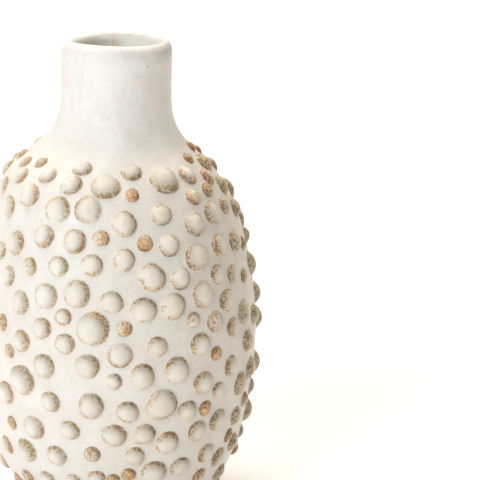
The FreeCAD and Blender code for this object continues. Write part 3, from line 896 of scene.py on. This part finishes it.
# Broken glaze on the beads.  All three measures are in bead radii: reach runs from the apex to
# the foot, beyond is the distance outside the clean glaze, towards is the way to the flame.
CRESCENT = (-0.26, 0.28)
CRESCENT_SHARE = 0.96
RIM_BREAKS = (0.42, 0.94)
RIM_SHARE = 0.70
RIM_GAPS = 0.007
BURNT_SIDE = (-0.9, 0.3)
BURNT_SHARE = 0.50
BURNT_TINT = (0.22, 0.66)
RAGGED_SIZE = 0.0036
RAGGED_SWING = 1.1
GRAIN_SIZE = 0.0013
GRAIN_SWING = 1.25
GRAZED_COVER = 0.70
BREAK_EDGE = (0.20, 0.92)
BREAK_FOOT = (0.99, 1.08)

# Whole glaze on the beads.
BEAD_FOOT = (0.96, 1.07)
BLOTCH_SIZE = 0.005
BLOTCH_SHARES = (0.6, 1.0)
STRAW_SHARES = (0.28, 0.76)
# Least and most of the beads' straw from left to right: painted shade of the pot's right side.
STRAW_RIGHT_SHADE = (0.15, 0.95)
FLAME_SIDE = (-0.7, 0.5)
LEE_SHARE = 0.12
HONEY_RIM = (0.84, 1.0)
HONEY_SHARE = 0.30
# Soft olive darkening towards the flame-side rim: partly the glaze's colour, partly painted shade of
# the bead's side.
STAIN_AND_SHADE_EDGE = (-0.55, 0.06)
STAIN_AND_SHADE_SHARE = 0.60

# Browns of the broken glaze: what makes them redder, darker or paler.
TOASTED_HUE = 0.45
WARM_BEADS = (0.3, 1.0)
WARM_HUES = (-0.15, 0.6)
HUE_PATCHES = 0.0045
HUE_SWING = (-0.1, 0.55)
GRAZED_HUE = 0.35
# Darker grain by the crescent's rim: partly the glaze's colour, partly painted shade at the bead's
# edge.
RIM_DARK_AND_SHADE = (-0.25, 0.35)
RIM_DARK_AND_SHADE_SHARE = 0.07
FLAME_DARK = (0.3, 1.0)
FLAME_DARK_SHARE = 0.17
TOASTED_DARK = 0.04
DARK_EDGE = (0.51, 0.65)
DARK_TINT = (0.62, 0.86)
PALE_GRAIN = 0.0015
PALE_SHARE = 0.46
TOASTED_PALE = 0.45
BEAD_ROUGHNESS = (0.45, 0.62)
BREAK_STRENGTH = 0.7
BREAK_DEPTH = 0.0002

# Bare clay.
CLAY_PATCHES = 0.008
IRON_SPACING = 0.0022
IRON_EDGE = (0.12, 0.2)
IRON_GROUPS = 0.004
CLAY_ROUGHNESS = (0.9, 0.7)


def rightward_tint(recipe, least, most):
    """A share that runs from the least on the left of the pot to the most on the right."""
    return recipe.rise(recipe.parts(recipe.place)[0], *RIGHTWARD_RISES, least, most)


def past_flame(recipe, least):
    """Falls from one to the least on the far right, which the flame only grazed."""
    return recipe.rise(recipe.parts(recipe.place)[0], *FLAME_PASSES, 1.0, least)


def cream_glaze(recipe):
    """Cream glaze, with a straw tint of painted shade on the body's right: warm and cool clouds,
    runs down the wall, fine specks.
    """
    clouds = recipe.patches(CLOUD_SIZE, (0.42, 0.64), detail=4.0, roughness=0.6)
    runs = recipe.patches(RUN_SIZE, (0.45, 0.64), roughness=0.55,
                          place=recipe.stretched(RUN_STRETCH))
    mottle = recipe.patches(MOTTLE_SIZE, (0.44, 0.64), roughness=0.65)
    colour = recipe.blend(recipe.product(clouds, CLOUD_SHARE), CREAM, WARM_CREAM)
    streak = recipe.total(RUN_SHARE, recipe.product(mottle, RUN_MOTTLE))
    colour = recipe.blend(recipe.product(runs, streak), colour, COOL_CREAM)
    colour = recipe.blend(recipe.product(mottle, MOTTLE_SHARE), colour, WARM_CREAM)
    # Straw on the body, rising to the right: painted shade of the right side.
    on_body = recipe.fall(recipe.parts(recipe.place)[2], *BODY_ENDS)
    right_shade = recipe.product(on_body, rightward_tint(recipe, *WALL_RIGHT_SHADE))
    colour = recipe.blend(right_shade, colour, STRAW_AND_SHADE)
    specks = recipe.fall(recipe.cells(SPECK_SPACING), *SPECK_EDGE)
    few = recipe.patches(SPECK_GROUPS, (0.60, 0.66), detail=1.0)
    return recipe.blend(recipe.product(specks, few, SPECK_SHARE), colour, SPECK)


def bead_shadow_glaze(recipe, colour):
    """The colour, greyed by painted shadow round the beads."""
    pool = recipe.attribute("painted_bead_shadow", "Fac")
    uneven = recipe.patches(SHADOW_PATCHES, (0.36, 0.62), SHADOW_SHARES, roughness=0.6)
    return recipe.blend(recipe.product(pool, uneven), colour, PAINTED_SHADE_GREY)


def thin_lip(recipe, sideways, depth):
    """Where the glaze drew thin on the lip's outer corner, most of all on the right."""
    corner = recipe.product(recipe.rise(depth, *CORNER_TOP), recipe.fall(depth, *CORNER_FOOT))
    side = recipe.rise(sideways, *CORNER_SIDE, CORNER_LEAST, 1.0)
    patches = recipe.patches(CORNER_PATCHES, (0.36, 0.60), (0.25, 1.0), roughness=0.6)
    grain = recipe.patches(CORNER_GRAIN, (0.35, 0.65), (0.6, 1.0), detail=2.0, roughness=0.6)
    return recipe.product(corner, side, patches, grain, CORNER_SHARE)


def pinhole(recipe):
    """A dot on the front of the neck."""
    spot = outer_point(PINHOLE_TURN, VASE_TOP - PINHOLE_DROP).tolist()
    away = recipe.add("ShaderNodeVectorMath", ((0, recipe.place), (1, spot)),
                      operation="DISTANCE").outputs["Value"]
    return recipe.fall(away, *PINHOLE_EDGE, PINHOLE_SHARE)


def throat(recipe, sideways, back, depth):
    """Painted shade inside the neck under the lip, most on the left."""
    ground = recipe.add("ShaderNodeCombineXYZ", ((0, sideways), (1, back))).outputs[0]
    radius = recipe.add("ShaderNodeVectorMath", ((0, ground),), operation="LENGTH").outputs["Value"]
    inside = recipe.fall(radius, *THROAT_WALL, THROAT_SHADE_SHARE)
    return recipe.product(inside, recipe.rise(depth, *THROAT_DEPTH),
                          recipe.fall(sideways, *THROAT_SIDE))


def inner_drip(recipe, sideways, back, depth):
    """A tan, speckled run of thin glaze on the back of the throat."""
    width = recipe.fall(recipe.maths("ABSOLUTE", sideways), *DRIP_SIDE)
    inside = recipe.product(recipe.rise(back, *DRIP_FRONT), recipe.fall(back, *DRIP_BACK))
    grain = recipe.patches(DRIP_GRAIN, (0.42, 0.60), (0.3, 1.0), detail=2.0, roughness=0.6)
    return recipe.product(width, inside, recipe.fall(depth, *DRIP_END), grain, DRIP_SHARE)


def wiped_foot(recipe, height):
    """Bare clay under the wandering glaze line, and the toasted edge of the glaze above it."""
    wandering = recipe.total(height, recipe.swing(LINE_WAVES, LINE_WANDER, detail=2.0))
    above_line = recipe.maths("SUBTRACT", wandering, GLAZE_LINE)
    bare = recipe.fall(above_line, 0.0, LINE_SOFTNESS)
    edge = recipe.fall(above_line, *TOASTED_EDGE, TOASTED_SHARE)
    grain = recipe.patches(TOASTED_GRAIN, (0.35, 0.65), (0.35, 1.0), detail=2.0, roughness=0.6)
    return bare, recipe.product(edge, grain)


def glaze_material():
    """Satin cream glaze of the wall and neck, thin on the lip and wiped off at the foot."""
    recipe = Recipe(bpy.data.materials.new("cream_glaze"))
    sideways, back, height = recipe.parts(recipe.place)
    depth = recipe.maths("SUBTRACT", VASE_TOP, height)
    # The cream glaze, greyed by painted shadow round the beads.
    colour = bead_shadow_glaze(recipe, cream_glaze(recipe))
    colour = recipe.blend(thin_lip(recipe, sideways, depth), colour, THIN_GLAZE)
    # Painted shade inside the neck.
    colour = recipe.blend(throat(recipe, sideways, back, depth), colour, PAINTED_SHADE_GREY)
    colour = recipe.blend(pinhole(recipe), colour, PINHOLE)
    colour = recipe.blend(inner_drip(recipe, sideways, back, depth), colour, GOLD)
    bare, edge = wiped_foot(recipe, height)
    colour = recipe.blend(edge, colour, GOLD)
    colour = recipe.blend(bare, colour, BUFF)
    gloss = recipe.patches(GLOSS_PATCHES, (0.3, 0.7), GLAZE_ROUGHNESS)
    roughness = recipe.maths("MAXIMUM", gloss, recipe.product(bare, BARE_ROUGHNESS))
    recipe.shader.inputs["IOR"].default_value = GLAZE_IOR
    return recipe.surface(colour, roughness, recipe.relief(GLAZE_RELIEF))


def broken_cover(recipe, reach, beyond, towards, toasted):
    """How far the glaze has broken on a bead: its crescent, or all over on toasted beads."""
    crescent = recipe.rise(beyond, *CRESCENT, 0.0, CRESCENT_SHARE)
    rim = recipe.product(recipe.rise(reach, *RIM_BREAKS, 0.0, RIM_SHARE),
                         recipe.patches(RIM_GAPS, (0.42, 0.58), detail=1.0))
    burnt_side = recipe.total(recipe.rise(towards, *BURNT_SIDE, 0.0, BURNT_SHARE),
                              rightward_tint(recipe, *BURNT_TINT))
    cover = recipe.maths("MAXIMUM", recipe.maths("MAXIMUM", crescent, rim),
                         recipe.product(toasted, burnt_side))
    cover = recipe.total(recipe.product(cover, past_flame(recipe, GRAZED_COVER)),
                         recipe.swing(RAGGED_SIZE, RAGGED_SWING, roughness=0.6),
                         recipe.swing(GRAIN_SIZE, GRAIN_SWING, detail=2.0, roughness=0.7))
    return recipe.product(recipe.rise(cover, *BREAK_EDGE), recipe.fall(reach, *BREAK_FOOT))


def whole_glaze(recipe, reach, beyond, towards, chance):
    """Unbroken glaze of a bead: cream to straw in blotches, more to the right as painted shade,
    stained towards the flame with partly painted shade, and greyed at the foot by painted shadow.
    """
    on_bead = recipe.fall(reach, *BEAD_FOOT)
    blotches = recipe.patches(BLOTCH_SIZE, (0.40, 0.62), BLOTCH_SHARES, roughness=0.6)
    # Straw by chance, rising to the right as painted shade.
    straw = recipe.product(recipe.rise(chance, 0.0, 1.0, *STRAW_SHARES), on_bead, blotches,
                           rightward_tint(recipe, *STRAW_RIGHT_SHADE))
    colour = recipe.blend(straw, bead_shadow_glaze(recipe, cream_glaze(recipe)), STRAW_AND_SHADE)
    flame_side = recipe.product(recipe.rise(towards, *FLAME_SIDE, LEE_SHARE, 1.0), on_bead)
    pooled = recipe.product(recipe.rise(reach, *HONEY_RIM, 0.0, HONEY_SHARE), flame_side)
    colour = recipe.blend(pooled, colour, HONEY)
    # Stain towards the flame-side rim, partly painted shade.
    stained_and_shaded = recipe.product(recipe.rise(beyond, *STAIN_AND_SHADE_EDGE, 0.0, STAIN_AND_SHADE_SHARE), flame_side)
    return recipe.blend(stained_and_shaded, colour, STAIN_AND_SHADE)


def broken_glaze(recipe, beyond, towards, toasted, warmth):
    """Browns of the broken glaze: gold to tan, grained dark by the rim, partly as painted shade, and
    dusted with cream.
    """
    hue = recipe.total(recipe.product(toasted, TOASTED_HUE),
                       recipe.rise(warmth, *WARM_BEADS, *WARM_HUES),
                       recipe.patches(HUE_PATCHES, (0.36, 0.62), HUE_SWING, detail=2.0))
    hue = recipe.product(recipe.clamp(hue), past_flame(recipe, GRAZED_HUE))
    grain = recipe.total(recipe.noise(GRAIN_SIZE, 3.0, 0.7),
                         recipe.rise(beyond, *RIM_DARK_AND_SHADE, 0.0, RIM_DARK_AND_SHADE_SHARE),
                         recipe.rise(towards, *FLAME_DARK, 0.0, FLAME_DARK_SHARE),
                         recipe.product(toasted, TOASTED_DARK))
    dark = recipe.product(recipe.rise(grain, *DARK_EDGE), rightward_tint(recipe, *DARK_TINT))
    brown = recipe.blend(dark, recipe.blend(hue, GOLD, TAN), recipe.blend(hue, UMBER, RUST))
    dust = recipe.patches(PALE_GRAIN, (0.47, 0.62), (0.0, PALE_SHARE), detail=2.0, roughness=0.6)
    pale = recipe.product(dust, recipe.rise(toasted, 0.0, 1.0, 1.0, TOASTED_PALE))
    return recipe.blend(pale, brown, CREAM)


def bead_material():
    """The same glaze on the beads, broken to brown at their rims and on their flame side."""
    recipe = Recipe(bpy.data.materials.new("bead_glaze"))
    reach, beyond, towards = recipe.parts(recipe.attribute("bead_place", "Vector"))
    toasted, warmth, chance = recipe.parts(recipe.attribute("bead_tone", "Vector"))
    breaks = broken_cover(recipe, reach, beyond, towards, toasted)
    colour = recipe.blend(breaks, whole_glaze(recipe, reach, beyond, towards, chance),
                          broken_glaze(recipe, beyond, towards, toasted, warmth))
    roughness = recipe.rise(breaks, 0.0, 1.0, *BEAD_ROUGHNESS)
    relief = recipe.bump(breaks, BREAK_STRENGTH, BREAK_DEPTH, recipe.relief(BEAD_RELIEF))
    recipe.shader.inputs["IOR"].default_value = GLAZE_IOR
    return recipe.surface(colour, roughness, relief)


def clay_material():
    """Bare fired stoneware: buff, gritty, with iron specks."""
    recipe = Recipe(bpy.data.materials.new("raw_clay"))
    patches = recipe.patches(CLAY_PATCHES, (0.35, 0.65), detail=4.0, roughness=0.6)
    specks = recipe.fall(recipe.cells(IRON_SPACING), *IRON_EDGE)
    some = recipe.patches(IRON_GROUPS, (0.5, 0.58), detail=1.0)
    colour = recipe.blend(recipe.product(specks, some), recipe.blend(patches, BUFF, PALE_BUFF), IRON)
    roughness = recipe.rise(specks, 0.0, 1.0, *CLAY_ROUGHNESS)
    return recipe.surface(colour, roughness, recipe.relief(CLAY_RELIEF))


# ---- studio
CAMERA_DISTANCE = 1.5
CAMERA_RISE = 0.236
CAMERA_YAW = math.radians(2.76)
CAMERA_PITCH = math.radians(13.28)
CAMERA_ROLL = math.radians(0.63)
CAMERA_LENS = 197.5
SENSOR = 36.0
CLIP_START = 0.05
CLIP_END = 60
FLOOR_SIZE = 14.0
FLOOR_COLOUR = (0.955, 0.955, 0.995, 1)
FLOOR_ROUGHNESS = 0.8
FLOOR_HEIGHT = -0.0002
# The room round the scene is pale up to a low height and dark above it.
WALL_LIGHT = (0.82, 0.79, 0.74, 1)
CEILING_LIGHT = (0.03, 0.028, 0.025, 1)
WALL_TOP = math.sin(math.radians(4))
CEILING_START = math.sin(math.radians(9))
KEY_PLACE = (-1.35, -1.9, 1.35)
KEY_SIZE = 1.3
KEY_POWER = 43
KEY_COLOUR = (0.85, 0.91, 1.0)
TOP_PLACE = (0.0, 1.4, 3.4)
TOP_SIZE = 5.0
TOP_POWER = 243
TOP_COLOUR = (1.0, 0.93, 0.83)


def build_camera():
    """Long lens from the front and a little above, aimed to the right of the vase."""
    data = bpy.data.cameras.new("camera")
    data.lens = CAMERA_LENS
    data.sensor_width = SENSOR
    data.clip_start = CLIP_START
    data.clip_end = CLIP_END
    camera = bpy.data.objects.new("camera", data)
    camera.matrix_world = (Matrix.Translation((0, -CAMERA_DISTANCE, VASE_TOP + CAMERA_RISE))
                           @ Matrix.Rotation(-CAMERA_YAW, 4, "Z")
                           @ Matrix.Rotation(math.pi / 2 - CAMERA_PITCH, 4, "X")
                           @ Matrix.Rotation(CAMERA_ROLL, 4, "Z"))
    bpy.context.scene.collection.objects.link(camera)
    bpy.context.scene.camera = camera


def build_floor():
    """Wide pale floor that fills the background."""
    mesh = bpy.data.meshes.new("floor")
    half = FLOOR_SIZE / 2
    corners = [(-half, -half), (half, -half), (half, half), (-half, half)]
    mesh.from_pydata([(x, y, FLOOR_HEIGHT) for x, y in corners], [], [(0, 1, 2, 3)])
    recipe = Recipe(bpy.data.materials.new("pale_floor"))
    recipe.shader.inputs["Base Color"].default_value = FLOOR_COLOUR
    recipe.shader.inputs["Roughness"].default_value = FLOOR_ROUGHNESS
    mesh.materials.append(recipe.owner)
    floor = bpy.data.objects.new("floor", mesh)
    bpy.context.scene.collection.objects.link(floor)


def soft_light(name, place, size, power, colour):
    """A square soft box aimed at the middle of the vase."""
    data = bpy.data.lights.new(name, "AREA")
    data.shape = "SQUARE"
    data.size = size
    data.energy = power
    data.color = colour
    light = bpy.data.objects.new(name, data)
    light.location = place
    aim = Vector((0, 0, VASE_TOP / 2)) - light.location
    light.rotation_mode = "QUATERNION"
    light.rotation_quaternion = aim.to_track_quat("-Z", "Y")
    bpy.context.scene.collection.objects.link(light)


def build_room():
    """Even room light: pale walls, dark ceiling."""
    room = Recipe(bpy.data.worlds.new("room"), "Background")
    upward = room.parts(room.coordinates["Generated"])[2]
    ceiling = room.rise(upward, WALL_TOP, CEILING_START)
    room.feed(room.shader.inputs["Color"], room.blend(ceiling, WALL_LIGHT, CEILING_LIGHT))
    bpy.context.scene.world = room.owner


def build_lights():
    """Large key light from the upper left and a soft light overhead."""
    soft_light("key", KEY_PLACE, KEY_SIZE, KEY_POWER, KEY_COLOUR)
    soft_light("top", TOP_PLACE, TOP_SIZE, TOP_POWER, TOP_COLOUR)


def place_pieces():
    """Build every piece, put it on the body and let it stand for its CAD node."""
    glaze = glaze_material()
    beads = bead_material()
    clay = clay_material()
    sites = {node: bead_sites(node) for node in BEAD_NODES}
    every_bead = [site for node in BEAD_NODES for site in sites[node]]
    made = [(node, piece, "glaze") for node, piece in build_glazed_sections(glaze, every_bead)]
    made.append((RING_NODE, build_foot_ring(clay), "raw_clay"))
    made.append((SLAB_NODE, build_base_slab(clay, glaze), "raw_clay"))
    made += [(node, build_bead_course(node, sites[node], beads), "bead_glaze")
             for node in BEAD_NODES]
    for node, piece, slot in made:
        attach(piece, "root")
        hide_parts(node)


place_pieces()
build_floor()
build_room()
build_lights()
build_camera()
bpy.context.scene.view_settings.view_transform = "Standard"
